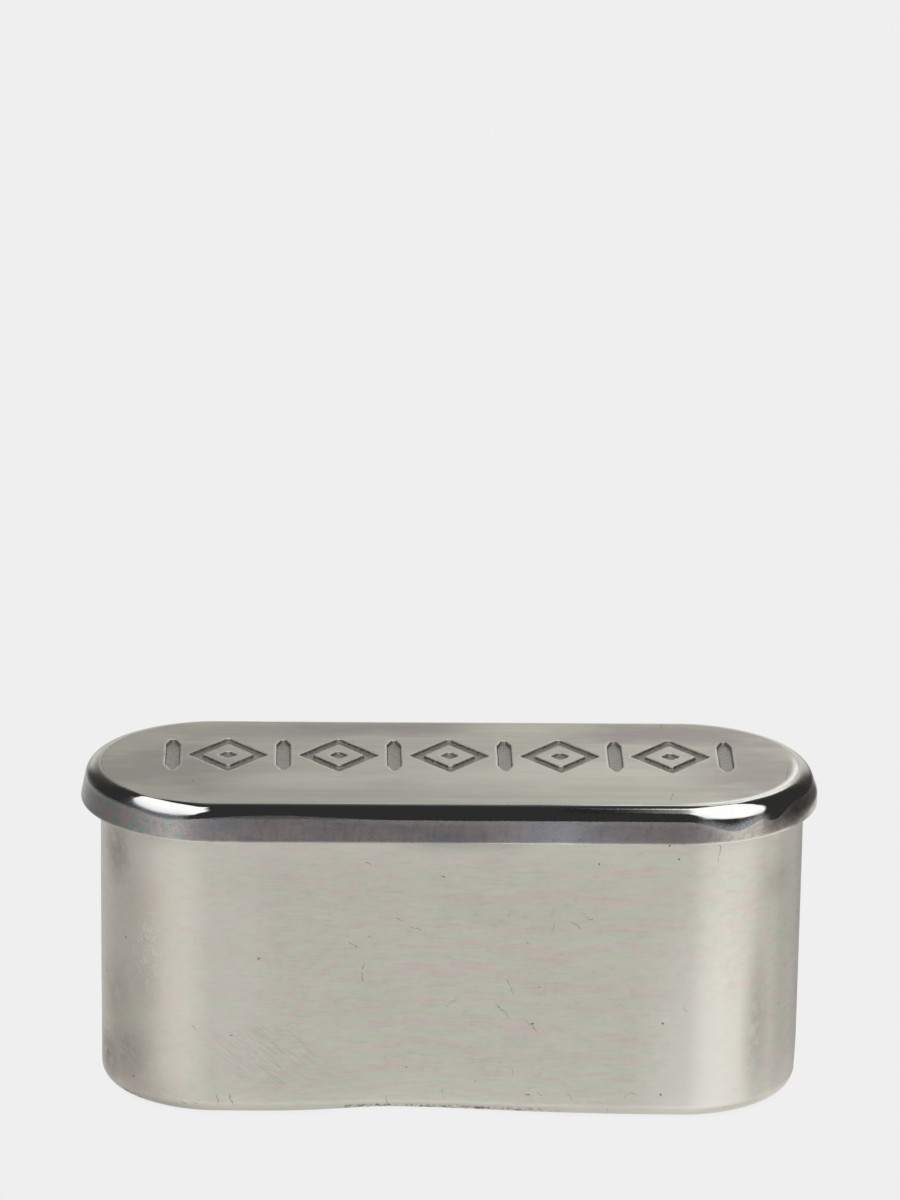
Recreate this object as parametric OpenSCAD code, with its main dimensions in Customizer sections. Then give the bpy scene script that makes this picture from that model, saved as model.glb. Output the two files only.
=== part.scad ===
// Oblong table box for toothpicks, with a lift-off lid.
// The pot is a sheet-metal band whose foot is turned in, with a base plate
// let in and soldered. The lid is a flared rim with a polished bead, with a flat
// plate let in and soldered. Both have straight sides and half-round ends.
// Millimetres, +Z up. The origin is the middle of the foot, on the table.

/* [Pot] */
// Length of the pot over its round ends
pot_length = 90.6; // [80:0.2:110]
// Depth of the pot from front to back
pot_depth = 30.6; // [26:0.2:40]
// Height of the pot from the table to its mouth
pot_height = 41; // [30:0.5:60]
// Thickness of the pot's sheet
pot_gauge = 1; // [0.8:0.05:1.3]
// Outside radius where the wall turns in under the pot
foot_radius = 2; // [1.6:0.1:3.2]
// Flat width of the ring that the pot stands on
foot_ledge = 2; // [1.5:0.1:3]
// Radius of the rounded edges of the mouth
mouth_round = 0.3; // [0.1:0.05:0.35]

/* [Base plate] */
// Thickness of the base plate
base_gauge = 1; // [0.7:0.05:1.5]
// Gap between the base plate's edge and the curve of the foot
base_clearance = 0.1; // [0.05:0.05:0.3]
// Height of the solder up the inside of the wall
base_solder_leg = 1.2; // [0.6:0.1:2]
// Reach of the solder over the base plate's edge
base_solder_lap = 0.6; // [0.3:0.1:1.2]

/* [Lid] */
// Height of the lid from the edge of its rim to its top
lid_height = 4.5; // [4:0.1:6.5]
// How far the rim stands out past the pot
rim_overhang = 2.2; // [1.9:0.1:3]
// Thickness of the rim's sheet
rim_gauge = 1; // [0.7:0.05:1.2]
// Lean of the rim, outwards at its foot, in degrees
rim_flare = 14; // [8:1:18]
// Outside radius of the polished bead round the plate
bead_radius = 2; // [1.6:0.1:2.2]
// Width of the ledge that carries the plate
plate_ledge = 2.6; // [2:0.1:4]
// Thickness of the plate
plate_gauge = 1; // [0.8:0.05:1.4]
// Gap between the plate's edge and the bead
plate_clearance = 0.05; // [0.03:0.01:0.1]
// Size of the solder fillet under the plate
lid_solder_leg = 0.6; // [0.3:0.05:0.65]

/* [Ornament] */
// Length of the sunk band of ornament
band_length = 73.2; // [60:0.2:78]
// Width of the band, from front to back
band_width = 12.4; // [8:0.2:14]
// How far the band lies behind the middle of the plate
band_offset = 2.8; // [0:0.1:4]
// Number of lozenges in the band
lozenge_count = 5; // [3:1:6]
// Width of the line that draws a lozenge
line_width = 1.4; // [1:0.1:1.8]
// Width of an upright pick between two lozenges
pick_width = 1.8; // [1.2:0.1:2.4]
// Length of the point at each end of a pick
pick_point = 2.4; // [1:0.1:3.5]
// Gap between a pick and the lozenge beside it
motif_gap = 1.1; // [0.6:0.1:1.6]
// Half the width of the small lozenge inside a large one
seed_half = 0.9; // [0.5:0.05:1]
// Depth of the sunk ornament
groove_depth = 0.4; // [0.2:0.05:0.6]

/* [Hidden] */
$fn = 96;

// How far a cut runs past the face that it opens
overrun = 1;

satin_colour = [0.74, 0.73, 0.68];
polished_colour = [0.62, 0.62, 0.6];
plate_colour = [0.68, 0.67, 0.63];
solder_colour = [0.55, 0.55, 0.54];

// Plan: both ends of every piece turn about the same two centres
end_x = (pot_length - pot_depth) / 2;
pot_r = pot_depth / 2;
pot_inner_r = pot_r - pot_gauge;

// Foot of the wall, and the base plate on its ledge
foot_turn_r = pot_r - foot_radius;
foot_inner_r = foot_turn_r - foot_ledge;
base_r = foot_turn_r - base_clearance;
base_top = pot_gauge + base_gauge;

// Heights of the lid, which rests on the mouth by its ledge
plate_seat_z = pot_height + rim_gauge;
lid_top = plate_seat_z + plate_gauge;
lid_foot = lid_top - lid_height;

// Section of the rim: the edge is a half-round, and the bead is tangent to the
// outer face of the flared sheet
rim_r = pot_r + rim_overhang;
rim_half = rim_gauge / 2;
flare_out = [cos(rim_flare), sin(rim_flare)];
flare_up = [-sin(rim_flare), cos(rim_flare)];
edge_centre = [rim_r - rim_half, lid_foot + rim_half];
skirt_run = (lid_top - bead_radius - edge_centre.y + (bead_radius - rim_half) * flare_out.y) / flare_up.y;
bead_centre = edge_centre + skirt_run * flare_up - (bead_radius - rim_half) * flare_out;
bead_foot = bead_centre + bead_radius * flare_out;
inner_foot = edge_centre - rim_half * flare_out;
inner_run = (pot_height - inner_foot.y) / flare_up.y;
inner_corner = inner_foot + inner_run * flare_up;
ledge_inner_r = bead_centre.x - plate_ledge;
plate_r = bead_centre.x - plate_clearance;

// Ornament: picks and lozenges take turns along the band
motif_pitch = (band_length - pick_width) / (2 * lozenge_count);
lozenge_half_x = motif_pitch - pick_width / 2 - motif_gap;
lozenge_half_y = band_width / 2;
lozenge_side = norm([lozenge_half_x, lozenge_half_y]);

// Carries a section, drawn as radius and height, round the oblong plan
module along_plan() {
  for (side = [0, 180]) rotate([0, 0, side]) {
    translate([end_x, 0, 0])
      rotate([0, 0, -90])
        rotate_extrude(angle = 180)
          children();
    rotate([90, 0, 90])
      linear_extrude(height = 2 * end_x, center = true)
        children();
  }
}

// Oblong outline whose ends have the radius r
module plan(r) {
  square([2 * end_x, 2 * r], center = true);
  for (side = [-1, 1])
    translate([side * end_x, 0])
      circle(r = r);
}

// Rectangle between two opposite corners
module corners(low, high) {
  translate(low)
    square(high - low);
}

// Section of the pot's wall, from its standing ring to its rounded mouth
module wall_section() {
  corners([pot_inner_r, foot_radius], [pot_r, pot_height - mouth_round]);
  corners([pot_inner_r + mouth_round, foot_radius], [pot_r - mouth_round, pot_height]);
  for (r = [pot_inner_r + mouth_round, pot_r - mouth_round])
    translate([r, pot_height - mouth_round])
      circle(r = mouth_round);
  intersection() {
    translate([foot_turn_r, foot_radius])
      difference() {
        circle(r = foot_radius);
        circle(r = foot_radius - pot_gauge);
      }
    corners([foot_turn_r, 0], [pot_r, foot_radius]);
  }
  corners([foot_inner_r, 0], [foot_turn_r, pot_gauge]);
}

// Space inside the wall's section, above its ledge
module inside_section() {
  translate([foot_turn_r, foot_radius])
    circle(r = foot_radius - pot_gauge);
  corners([foot_inner_r, pot_gauge], [foot_turn_r, pot_height]);
  corners([foot_inner_r, foot_radius], [pot_inner_r, pot_height]);
}

// Section of the solder that joins the base plate to the wall
module base_solder_section() {
  intersection() {
    inside_section();
    union() {
      corners([base_r, pot_gauge], [pot_inner_r, base_top]);
      polygon([
        [base_r - base_solder_lap, base_top],
        [pot_inner_r, base_top],
        [pot_inner_r, base_top + base_solder_leg]
      ]);
    }
  }
}

// Section of the lid's rim: ledge, polished bead and flared skirt
module rim_section() {
  bead_reach = 2 * bead_radius;
  difference() {
    union() {
      corners([ledge_inner_r, pot_height], [bead_centre.x, plate_seat_z]);
      intersection() {
        translate(bead_centre)
          circle(r = bead_radius);
        translate(bead_centre)
          polygon([[0, 0], bead_reach * flare_out, [bead_reach, bead_reach], [0, bead_reach]]);
      }
      polygon([[bead_centre.x, pot_height], inner_corner, bead_foot, [bead_centre.x, lid_top]]);
      polygon([inner_foot, edge_centre + rim_half * flare_out, bead_foot, bead_foot - rim_gauge * flare_out]);
      translate(edge_centre)
        circle(r = rim_half);
    }
    polygon([[ledge_inner_r, pot_height], inner_corner, inner_foot, [ledge_inner_r, inner_foot.y]]);
  }
}

// Section of the solder fillet between the ledge and the plate
module lid_solder_section() {
  polygon([
    [ledge_inner_r, plate_seat_z],
    [ledge_inner_r, plate_seat_z - lid_solder_leg],
    [ledge_inner_r - lid_solder_leg, plate_seat_z]
  ]);
}

// Lozenge from its half length and half width
module lozenge(half_x, half_y) {
  polygon([[half_x, 0], [0, half_y], [-half_x, 0], [0, -half_y]]);
}

// Lozenge drawn as a line, with a small one inside it
module lozenge_motif() {
  difference() {
    lozenge(lozenge_half_x, lozenge_half_y);
    lozenge(
      lozenge_half_x - line_width * lozenge_side / lozenge_half_y,
      lozenge_half_y - line_width * lozenge_side / lozenge_half_x
    );
  }
  lozenge(seed_half, seed_half * lozenge_half_y / lozenge_half_x);
}

// Upright pick with a point at each end
module pick_motif() {
  shoulder = lozenge_half_y - pick_point;
  polygon([
    [0, lozenge_half_y], [pick_width / 2, shoulder], [pick_width / 2, -shoulder],
    [0, -lozenge_half_y], [-pick_width / 2, -shoulder], [-pick_width / 2, shoulder]
  ]);
}

// The whole band, flat
module ornament() {
  translate([0, band_offset])
    for (i = [-lozenge_count:lozenge_count])
      translate([i * motif_pitch, 0])
        if ((i + lozenge_count) % 2 == 0) pick_motif();
        else lozenge_motif();
}

module pot_wall() {
  color(satin_colour)
    along_plan()
      wall_section();
}

module pot_base() {
  color(satin_colour)
    translate([0, 0, pot_gauge])
      linear_extrude(height = base_gauge)
        plan(base_r);
}

module base_solder() {
  color(solder_colour)
    along_plan()
      base_solder_section();
}

module lid_rim() {
  color(polished_colour)
    along_plan()
      rim_section();
}

module lid_plate() {
  color(plate_colour)
    difference() {
      translate([0, 0, plate_seat_z])
        linear_extrude(height = plate_gauge)
          plan(plate_r);
      translate([0, 0, lid_top - groove_depth])
        linear_extrude(height = groove_depth + overrun)
          ornament();
    }
}

module lid_solder() {
  color(solder_colour)
    along_plan()
      lid_solder_section();
}

pot_wall();
pot_base();
base_solder();
lid_rim();
lid_plate();
lid_solder();
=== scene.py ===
# Looks of an oblong metal toothpick box with a lift-off lid.
# Metres throughout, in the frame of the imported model: +Z up, +X along the length.
import math
from functools import cached_property

import bmesh
import bpy
from mathutils import Matrix, Vector, noise
from mathutils.geometry import delaunay_2d_cdt


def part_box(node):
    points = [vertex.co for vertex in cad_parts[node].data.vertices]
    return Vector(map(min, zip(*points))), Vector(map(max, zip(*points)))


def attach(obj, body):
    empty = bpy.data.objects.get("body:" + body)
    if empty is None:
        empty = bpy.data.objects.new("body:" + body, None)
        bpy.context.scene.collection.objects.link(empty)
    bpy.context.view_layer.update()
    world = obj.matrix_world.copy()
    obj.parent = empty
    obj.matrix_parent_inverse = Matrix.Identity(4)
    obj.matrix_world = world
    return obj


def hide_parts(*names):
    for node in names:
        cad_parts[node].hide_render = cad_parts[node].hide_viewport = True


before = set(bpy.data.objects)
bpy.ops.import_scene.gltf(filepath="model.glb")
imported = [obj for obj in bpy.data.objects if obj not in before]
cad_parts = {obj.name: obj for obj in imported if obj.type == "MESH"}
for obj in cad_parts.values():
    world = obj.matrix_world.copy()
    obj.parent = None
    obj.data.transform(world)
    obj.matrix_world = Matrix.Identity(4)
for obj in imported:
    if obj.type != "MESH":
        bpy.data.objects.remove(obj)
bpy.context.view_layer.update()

MM = 0.001

# Overall sizes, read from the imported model
POT_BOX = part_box("pot_wall")[1]
RIM_LOW, RIM_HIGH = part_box("lid_rim")
END_X = POT_BOX.x - POT_BOX.y
POT_R = POT_BOX.y
POT_HEIGHT = POT_BOX.z
RIM_R = RIM_HIGH.x - END_X
LID_TOP = RIM_HIGH.z
LID_FOOT = RIM_LOW.z

# Sheet and joints of the pot
POT_GAUGE = 1 * MM
FOOT_RADIUS = 2 * MM
FOOT_LEDGE = 2 * MM
MOUTH_ROUND = 0.3 * MM
BASE_GAUGE = 1 * MM
BASE_CLEARANCE = 0.1 * MM
BASE_EDGE_ROUND = 0.08 * MM
BASE_SOLDER_LEG = 1.2 * MM
BASE_SOLDER_LAP = 0.6 * MM
BASE_SOLDER_HEIGHT = 0.98 * BASE_SOLDER_LEG
BASE_SOLDER_INSET = 0.02 * MM
BASE_SOLDER_ROOT = 0.5 * MM
BASE_SOLDER_PULL = 0.05 * MM
# How far solder bulges sideways and hangs hollow, as shares of its size
BASE_SOLDER_SAG = (0.11, 0.22)
# Lumps of the solder: their size along it, and their depth
SOLDER_LUMPS = (2.6 * MM, 0.16 * MM)

# The pot stands a little askew under its lid
POT_TURN = math.radians(-0.8)
POT_SHIFT = 0.3 * MM

# Sheet and joints of the lid
RIM_GAUGE = 1 * MM
RIM_FLARE = math.radians(14)
BEAD_RADIUS = 2 * MM
BEAD_END = 12
PLATE_LEDGE = 2.6 * MM
PLATE_CLEARANCE = 0.01 * MM
LID_SOLDER_LEG = 0.6 * MM
LID_SOLDER_HEIGHT = 0.97 * LID_SOLDER_LEG
LID_SOLDER_SAG = (0.09, 0.09 / 0.97)
PLATE_EDGE_ROUND = 0.03 * MM
PLATE_MARGIN = 0.1 * MM
PLATE_EDGE_DROP = 0.01 * MM
PLATE_WANDER = 0.03 * MM
PLATE_WAVES = (22 * MM, 9 * MM)
PLATE_GRID = 1.5 * MM
SKIRT_EDGE_ROUND = 0.12 * MM

# Ornament of the plate
BAND_LENGTH = 73.2 * MM
BAND_WIDTH = 12.4 * MM
BAND_OFFSET = 2.8 * MM
LOZENGE_COUNT = 5
LINE_WIDTH = 1.4 * MM
PICK_WIDTH = 1.8 * MM
PICK_POINT = 2.4 * MM
MOTIF_GAP = 1.1 * MM
SEED_HALF = 1.2 * MM
GROOVE_DEPTH = 0.4 * MM
CORNER_ROUND = 0.3 * MM
CORNER_STEP = 0.12 * MM
OUTLINE_STEP = 0.3 * MM
OUTLINE_WOBBLE = 0.035 * MM
WOBBLE_LENGTH = 0.9 * MM

# Fineness of the meshes
ARC_STEPS = 72
STRAIGHT_STEPS = 60
ROUND_STEPS = 10

# Camera, from the fit of the outline to the photograph; angles in degrees
CAMERA_AZIMUTH = -1.4
CAMERA_ELEVATION = 21.49
CAMERA_ROLL = 0.788
CAMERA_DISTANCE = 0.9634
FRAME_WIDTH = 900
FRAME_HEIGHT = 1200
FOCAL_PX = 7417
MIDDLE_PX = (447.7, 918.4)
SENSOR = 36


def along_plan(radius_at_zero=POT_R):
    """Stations round the oblong: centre, direction outwards and length along the line, in metres."""
    stations = []
    length = 0
    for side in (1, -1):
        for i in range(ARC_STEPS):
            angle = -math.pi / 2 + math.pi * i / ARC_STEPS
            out = Vector((side * math.cos(angle), side * math.sin(angle), 0))
            stations.append((Vector((side * END_X, 0, 0)), out, length))
            length += math.pi * radius_at_zero / ARC_STEPS
        for i in range(STRAIGHT_STEPS):
            share = i / STRAIGHT_STEPS
            centre = Vector((side * END_X * (1 - 2 * share), 0, 0))
            stations.append((centre, Vector((0, side, 0)), length))
            length += 2 * END_X / STRAIGHT_STEPS
    return stations, length


STATIONS, PLAN_LENGTH = along_plan()


def plan_radius(spot):
    """How far a point lies from the oblong's middle line, seen from above."""
    return math.hypot(max(0, abs(spot.x) - END_X), spot.y)


def azimuth_of(out):
    """A direction seen from above, in degrees from the front and positive to the right."""
    return math.degrees(math.atan2(out.x, -out.y))


def arc(centre, radius, start, end, steps=ROUND_STEPS):
    """Points of an arc in a section, as radius and height, between two angles in degrees."""
    points = []
    for i in range(steps + 1):
        angle = math.radians(start + (end - start) * i / steps)
        points.append((centre[0] + radius * math.cos(angle), centre[1] + radius * math.sin(angle)))
    return points


def line(start, end, steps):
    """Points strictly between two points of a section."""
    points = []
    for i in range(1, steps):
        share = i / steps
        points.append((start[0] + (end[0] - start[0]) * share, start[1] + (end[1] - start[1]) * share))
    return points


def mesh_object(name, verts, faces, uvs=None, sharp=(), values=None):
    """A smooth-shaded mesh whose given edges stay sharp, with a UV map in millimetres."""
    mesh = bpy.data.meshes.new(name)
    mesh.from_pydata(verts, [], faces)
    mesh.update()
    if uvs is not None:
        layer = mesh.uv_layers.new(name="surface")
        for loop, uv in zip(layer.data, uvs):
            loop.uv = uv
    for key, data in (values or {}).items():
        attribute = mesh.attributes.new(key, "FLOAT", "POINT")
        attribute.data.foreach_set("value", data)
    wanted = {tuple(sorted(edge)) for edge in sharp}
    flags = [tuple(sorted(edge.vertices)) in wanted for edge in mesh.edges]
    mesh.shade_smooth()
    if any(flags):
        attribute = mesh.attributes.new("sharp_edge", "BOOLEAN", "EDGE")
        attribute.data.foreach_set("value", flags)
    made = bmesh.new()
    made.from_mesh(mesh)
    bmesh.ops.recalc_face_normals(made, faces=made.faces)
    made.to_mesh(mesh)
    made.free()
    obj = bpy.data.objects.new(name, mesh)
    bpy.context.scene.collection.objects.link(obj)
    return obj


def sweep(name, section, corners=(), shape=None, values=None):
    """Carries a closed section round the oblong. shape may move a point; values are extra attributes."""
    count = len(section)
    runs = [0]
    for i in range(count):
        a, b = section[i], section[(i + 1) % count]
        runs.append(runs[-1] + math.dist(a, b))
    verts, data = [], {key: [] for key in (values or {})}
    for centre, out, _ in STATIONS:
        for j, (radius, height) in enumerate(section):
            point = centre + out * radius + Vector((0, 0, height))
            verts.append(shape(point, out) if shape else point)
            for key, rule in (values or {}).items():
                data[key].append(rule(centre, out, runs[j]))
    faces, uvs, sharp = [], [], []
    total = len(STATIONS)
    for i in range(total):
        here, there = i * count, ((i + 1) % total) * count
        u0 = STATIONS[i][2]
        u1 = STATIONS[i + 1][2] if i + 1 < total else PLAN_LENGTH
        for j in range(count):
            k = (j + 1) % count
            faces.append((here + j, here + k, there + k, there + j))
            v0, v1 = runs[j] / MM, runs[j + 1] / MM
            uvs += [(u0 / MM, v0), (u0 / MM, v1), (u1 / MM, v1), (u1 / MM, v0)]
        sharp += [(here + j, there + j) for j in corners]
    return mesh_object(name, verts, faces, uvs, sharp, data)


class FlatMesh:
    """The mesh of a flat piece as it grows, with the kind of finish of each face."""

    def __init__(self):
        self.verts, self.rubbed = [], []
        self.faces, self.kinds, self.sharp = [], [], []

    def add_points(self, points, rub=0):
        """Adds points, which may be rubbed, and gives their numbers."""
        first = len(self.verts)
        self.verts += points
        self.rubbed += [rub] * len(points)
        return list(range(first, len(self.verts)))

    def add_row(self, radius, height):
        """Adds a closed row of points round the oblong and gives their numbers."""
        up = Vector((0, 0, height))
        return self.add_points([centre + out * radius + up for centre, out, _ in STATIONS])

    def add_face(self, numbers, kind=0):
        self.faces.append(numbers)
        self.kinds.append(kind)

    def add_strip(self, upper, lower, kind=0):
        """Adds the faces between two closed rows of points."""
        for i in range(len(upper)):
            k = (i + 1) % len(upper)
            self.add_face([upper[i], upper[k], lower[k], lower[i]], kind)

    def build(self, name):
        """Makes the piece, with each face's kind as the number of its finish."""
        uvs = []
        for face in self.faces:
            uvs += [(self.verts[v].x / MM, self.verts[v].y / MM) for v in face]
        obj = mesh_object(name, self.verts, self.faces, uvs, self.sharp, {"rubbed": self.rubbed})
        obj.data.polygons.foreach_set("material_index", self.kinds)
        return obj


def fillet(start, width, height, bulge, hollow, steps):
    """Points of solder between two faces, which bulges sideways and hangs hollow in height."""
    points = []
    for i in range(steps + 1):
        share = i / steps
        sag = math.sin(math.pi * share)
        points.append((start[0] + width * (share + bulge * sag), start[1] + height * (share - hollow * sag)))
    return points


def index_of(section, point):
    """Where a point lies in a section."""
    return min(range(len(section)), key=lambda i: math.dist(section[i], point))


# The front of the foot is lifted a little, as if knocked: middle, reach to each side, height, reach up
LIFT_X = -7.5 * MM
LIFT_LEFT = 8.5 * MM
LIFT_RIGHT = 17.5 * MM
LIFT_HEIGHT = 0.85 * MM
LIFT_REACH = 9 * MM

# Where the ends swell or shrink: side, middle height, reach up and down, distance outwards
SWELLS = (
    (1, 41 * MM, 30 * MM, 0.15 * MM),
    (-1, 0 * MM, 20 * MM, -0.09 * MM),
    (1, 1.5 * MM, 2.5 * MM, -0.15 * MM),
    (-1, 0.7 * MM, 0.7 * MM, 0.10 * MM),
)

# Unevenness of the wall and of the bead: its size along the surface, and its depth
WALL_UNEVEN = (14 * MM, 0.05 * MM)
RIM_UNEVEN = (9 * MM, 0.035 * MM)


def foot_lift(point):
    """How far the foot is raised above the table at a point near the front."""
    if point.y > 0:
        return 0
    width = LIFT_LEFT if point.x < LIFT_X else LIFT_RIGHT
    across = math.exp(-((point.x - LIFT_X) / width) ** 2)
    upward = max(0, 1 - point.z / LIFT_REACH) ** 2
    inward = min(1, max(0, (-point.y - (POT_R - FOOT_RADIUS - FOOT_LEDGE)) / FOOT_LEDGE))
    return LIFT_HEIGHT * across * upward * inward


def uneven(point, size, depth):
    """Smooth unevenness between zero and minus depth."""
    return -depth * (0.5 + 0.5 * noise.noise(point / size))


def swell(point, out):
    """How far the pot's side stands out or in at a point."""
    total = 0
    for side, middle, reach, distance in SWELLS:
        total += distance * max(0, side * out.x) * math.exp(-((point.z - middle) / reach) ** 2)
    return total


def pot_shape(point, out):
    """The wall is never quite true."""
    moved = point + out * (swell(point, out) + uneven(point, *WALL_UNEVEN))
    moved.z += foot_lift(point)
    return moved


# Length down the pot's section from the mouth to where the foot begins to turn in
FOOT_RUN = POT_HEIGHT - FOOT_RADIUS - MOUTH_ROUND + math.pi / 2 * MOUTH_ROUND


def foot_run(degrees):
    """Length down the section in millimetres to where the foot has turned in by so many degrees."""
    return (FOOT_RUN + FOOT_RADIUS * math.radians(degrees)) / MM


def outer_face(centre, out, run):
    """1 on the outer face of the pot and 0 inside it."""
    return 1 if run / MM < foot_run(91) else 0


def make_pot_wall():
    inner = POT_R - POT_GAUGE
    turn = POT_R - FOOT_RADIUS
    ledge = turn - FOOT_LEDGE
    shoulder = POT_HEIGHT - MOUTH_ROUND
    section = arc((POT_R - MOUTH_ROUND, shoulder), MOUTH_ROUND, 90, 0, 5)
    section += line((POT_R, shoulder), (POT_R, FOOT_RADIUS), 28)
    section += arc((turn, FOOT_RADIUS), FOOT_RADIUS, 0, -90, 12)
    section += line((turn, 0), (ledge, 0), 3) + [(ledge, 0), (ledge, POT_GAUGE)]
    section += arc((turn, FOOT_RADIUS), FOOT_RADIUS - POT_GAUGE, -90, 0, 6)
    section += line((inner, FOOT_RADIUS), (inner, shoulder), 20)
    section += arc((inner + MOUTH_ROUND, shoulder), MOUTH_ROUND, 180, 90, 5)
    corners = [index_of(section, (ledge, 0)), index_of(section, (ledge, POT_GAUGE))]
    return sweep("pot_wall_shell", section, corners, pot_shape, {"outer_face": outer_face})


def make_pot_base():
    """The base plate, with straight sides, half-round ends and a softened edge."""
    radius = POT_R - FOOT_RADIUS - BASE_CLEARANCE
    low, high, edge = POT_GAUGE, POT_GAUGE + BASE_GAUGE, BASE_EDGE_ROUND
    section = arc((radius - edge, low + edge), edge, -90, 0, 4)
    section += arc((radius - edge, high - edge), edge, 0, 90, 4)
    plate = FlatMesh()
    rows = [plate.add_row(*point) for point in section]
    for lower, upper in zip(rows, rows[1:]):
        plate.add_strip(upper, lower)
    plate.add_face(rows[0][::-1])
    plate.add_face(rows[-1])
    return plate.build("pot_base_plate")


def make_base_solder():
    """A fillet that sags between the wall and the plate, with an uneven edge."""
    top = POT_GAUGE + BASE_GAUGE
    inner = POT_R - POT_GAUGE - BASE_SOLDER_INSET
    lap = POT_R - FOOT_RADIUS - BASE_CLEARANCE - BASE_SOLDER_LAP
    section = fillet((lap, top), inner - lap, BASE_SOLDER_HEIGHT, *BASE_SOLDER_SAG, 8)
    section.append((inner - BASE_SOLDER_ROOT, top - BASE_SOLDER_ROOT))

    def lumpy(point, out):
        edge = 1 - (plan_radius(point) - lap) / (inner - lap)
        size, depth = SOLDER_LUMPS
        wave = min(0, noise.noise(point / size) * depth)
        return point + out * (swell(point, out) - BASE_SOLDER_PULL + wave * edge)

    return sweep("base_solder_run", section, [0], lumpy)


def rim_points():
    """Named points of the lid's rim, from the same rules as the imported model."""
    half = RIM_GAUGE / 2
    out = Vector((math.cos(RIM_FLARE), math.sin(RIM_FLARE)))
    up = Vector((-math.sin(RIM_FLARE), math.cos(RIM_FLARE)))
    edge = Vector((RIM_R - half, LID_FOOT + half))
    run = (LID_TOP - BEAD_RADIUS - edge.y + (BEAD_RADIUS - half) * out.y) / up.y
    bead = edge + run * up - (BEAD_RADIUS - half) * out
    inner_foot = edge - half * out
    corner = inner_foot + (POT_HEIGHT - inner_foot.y) / up.y * up
    return {"bead": bead, "inner_foot": inner_foot, "corner": corner}


RIM = rim_points()
LEDGE_INNER_R = RIM["bead"].x - PLATE_LEDGE
PLATE_R = RIM["bead"].x - PLATE_CLEARANCE
PLATE_SEAT = POT_HEIGHT + RIM_GAUGE

# The mirror polish of the bead ends above near the plate and below along the skirt. Angles are from
# the front, positive to the right, in degrees. A hump has a middle, a reach and a depth, and a drop
# has a start, an end and a depth.
POLISH_TOP = 0.12 * MM
POLISH_MIDDLE = 6
POLISH_FADE_LEFT = (45, 112)
POLISH_FADE_RIGHT = (45, 92)
POLISH_RISE = 0.15 * MM
POLISH_DIP = (22, 16, 0.75 * MM)
RIGHT_DIP = (21, 11, 0.95 * MM)
RIGHT_DROPS = ((32, 42, 1.1 * MM), (40, 56, -1.1 * MM))
LEFT_RISE = (-22 * MM, 9 * MM, 0.55 * MM)
# In two places the bead's upper edge was left crisp: a flat face at this slope runs up to it
CRISP_SLOPE = 57
CRISP_HUMPS = ((-34, 9, 0.9), (18, 9, 0.75))
# Where the rim swells outwards: middle and reach round the plan, middle and reach in height, distance
RIM_SWELLS = (
    (-128, 28, 42 * MM, 3 * MM, 0.30 * MM),
    (92, 45, 39.8 * MM, 1.2 * MM, 0.25 * MM),
)


def hump(value, middle, reach, depth):
    """A smooth hump."""
    return depth * math.exp(-((value - middle) / reach) ** 2)


def step(value, start, end):
    """Goes smoothly from 0 to 1 as value goes from start to end."""
    share = min(1, max(0, (value - start) / (end - start)))
    return share * share * (3 - 2 * share)


def crispness(out):
    """How crisp the bead's upper edge is, from 0 to 1, where the plan faces outwards this way."""
    turned = azimuth_of(out)
    return sum(hump(turned, *values) for values in CRISP_HUMPS)


def below_top_border(centre, out, run):
    """Distance in millimetres down the section from the line where the polish begins."""
    turned = azimuth_of(out)
    edge = BEAD_RADIUS * math.radians((90 - CRISP_SLOPE) / 2)
    border = POLISH_TOP + crispness(out) * (edge - POLISH_TOP)
    beside = turned - POLISH_MIDDLE
    fade = POLISH_FADE_RIGHT if beside > 0 else POLISH_FADE_LEFT
    border += (math.pi * BEAD_RADIUS - border) * step(abs(beside), *fade)
    return (run - border) / MM


def above_low_border(centre, out, run):
    """Distance in millimetres up the section from the line where the polish ends."""
    turned = azimuth_of(out)
    right = max(0, centre.x / END_X)
    border = BEAD_RADIUS * math.radians(90 - BEAD_END) - POLISH_RISE
    border += hump(math.degrees(math.atan2(abs(out.x), abs(out.y))), *POLISH_DIP)
    border += right * hump(turned, *RIGHT_DIP)
    for start, end, depth in RIGHT_DROPS:
        border += right * depth * step(turned, start, end)
    border -= hump(centre.x, *LEFT_RISE)
    return (border - run) / MM


def to_crisp_edge(point, out):
    """The way a point on the bead's shoulder moves to make its upper edge crisp."""
    reach = plan_radius(point) - RIM["bead"].x
    rise = point.z - RIM["bead"].y
    slope = math.atan2(rise, reach)
    face = math.radians(CRISP_SLOPE)
    distance = math.hypot(reach, rise)
    if slope < face or reach < 0 or distance < 0.9 * BEAD_RADIUS:
        return Vector((0, 0, 0))
    wanted = BEAD_RADIUS * min(1 / math.cos(slope - face), 1 / math.sin(slope))
    stretch = crispness(out) * (wanted / distance - 1)
    return (out * reach + Vector((0, 0, rise))) * stretch


def rim_swell(point, out):
    """How far the rim stands out at a point; its edge at the plate stays where it is."""
    turned = azimuth_of(out)
    reach = plan_radius(point) - RIM["bead"].x
    share = min(1, max(0, reach / BEAD_RADIUS))
    total = 0
    for middle, turn, height, rise, distance in RIM_SWELLS:
        total += share * hump(turned, middle, turn, distance) * hump(point.z, height, rise, 1)
    return max(0, min(total, RIM_R - reach - RIM["bead"].x))


def rim_shape(point, out):
    """The bead was polished by hand, so it wanders by some hundredths of a millimetre."""
    outwards = rim_swell(point, out) + uneven(point, *RIM_UNEVEN)
    return point + to_crisp_edge(point, out) + out * outwards


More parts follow.
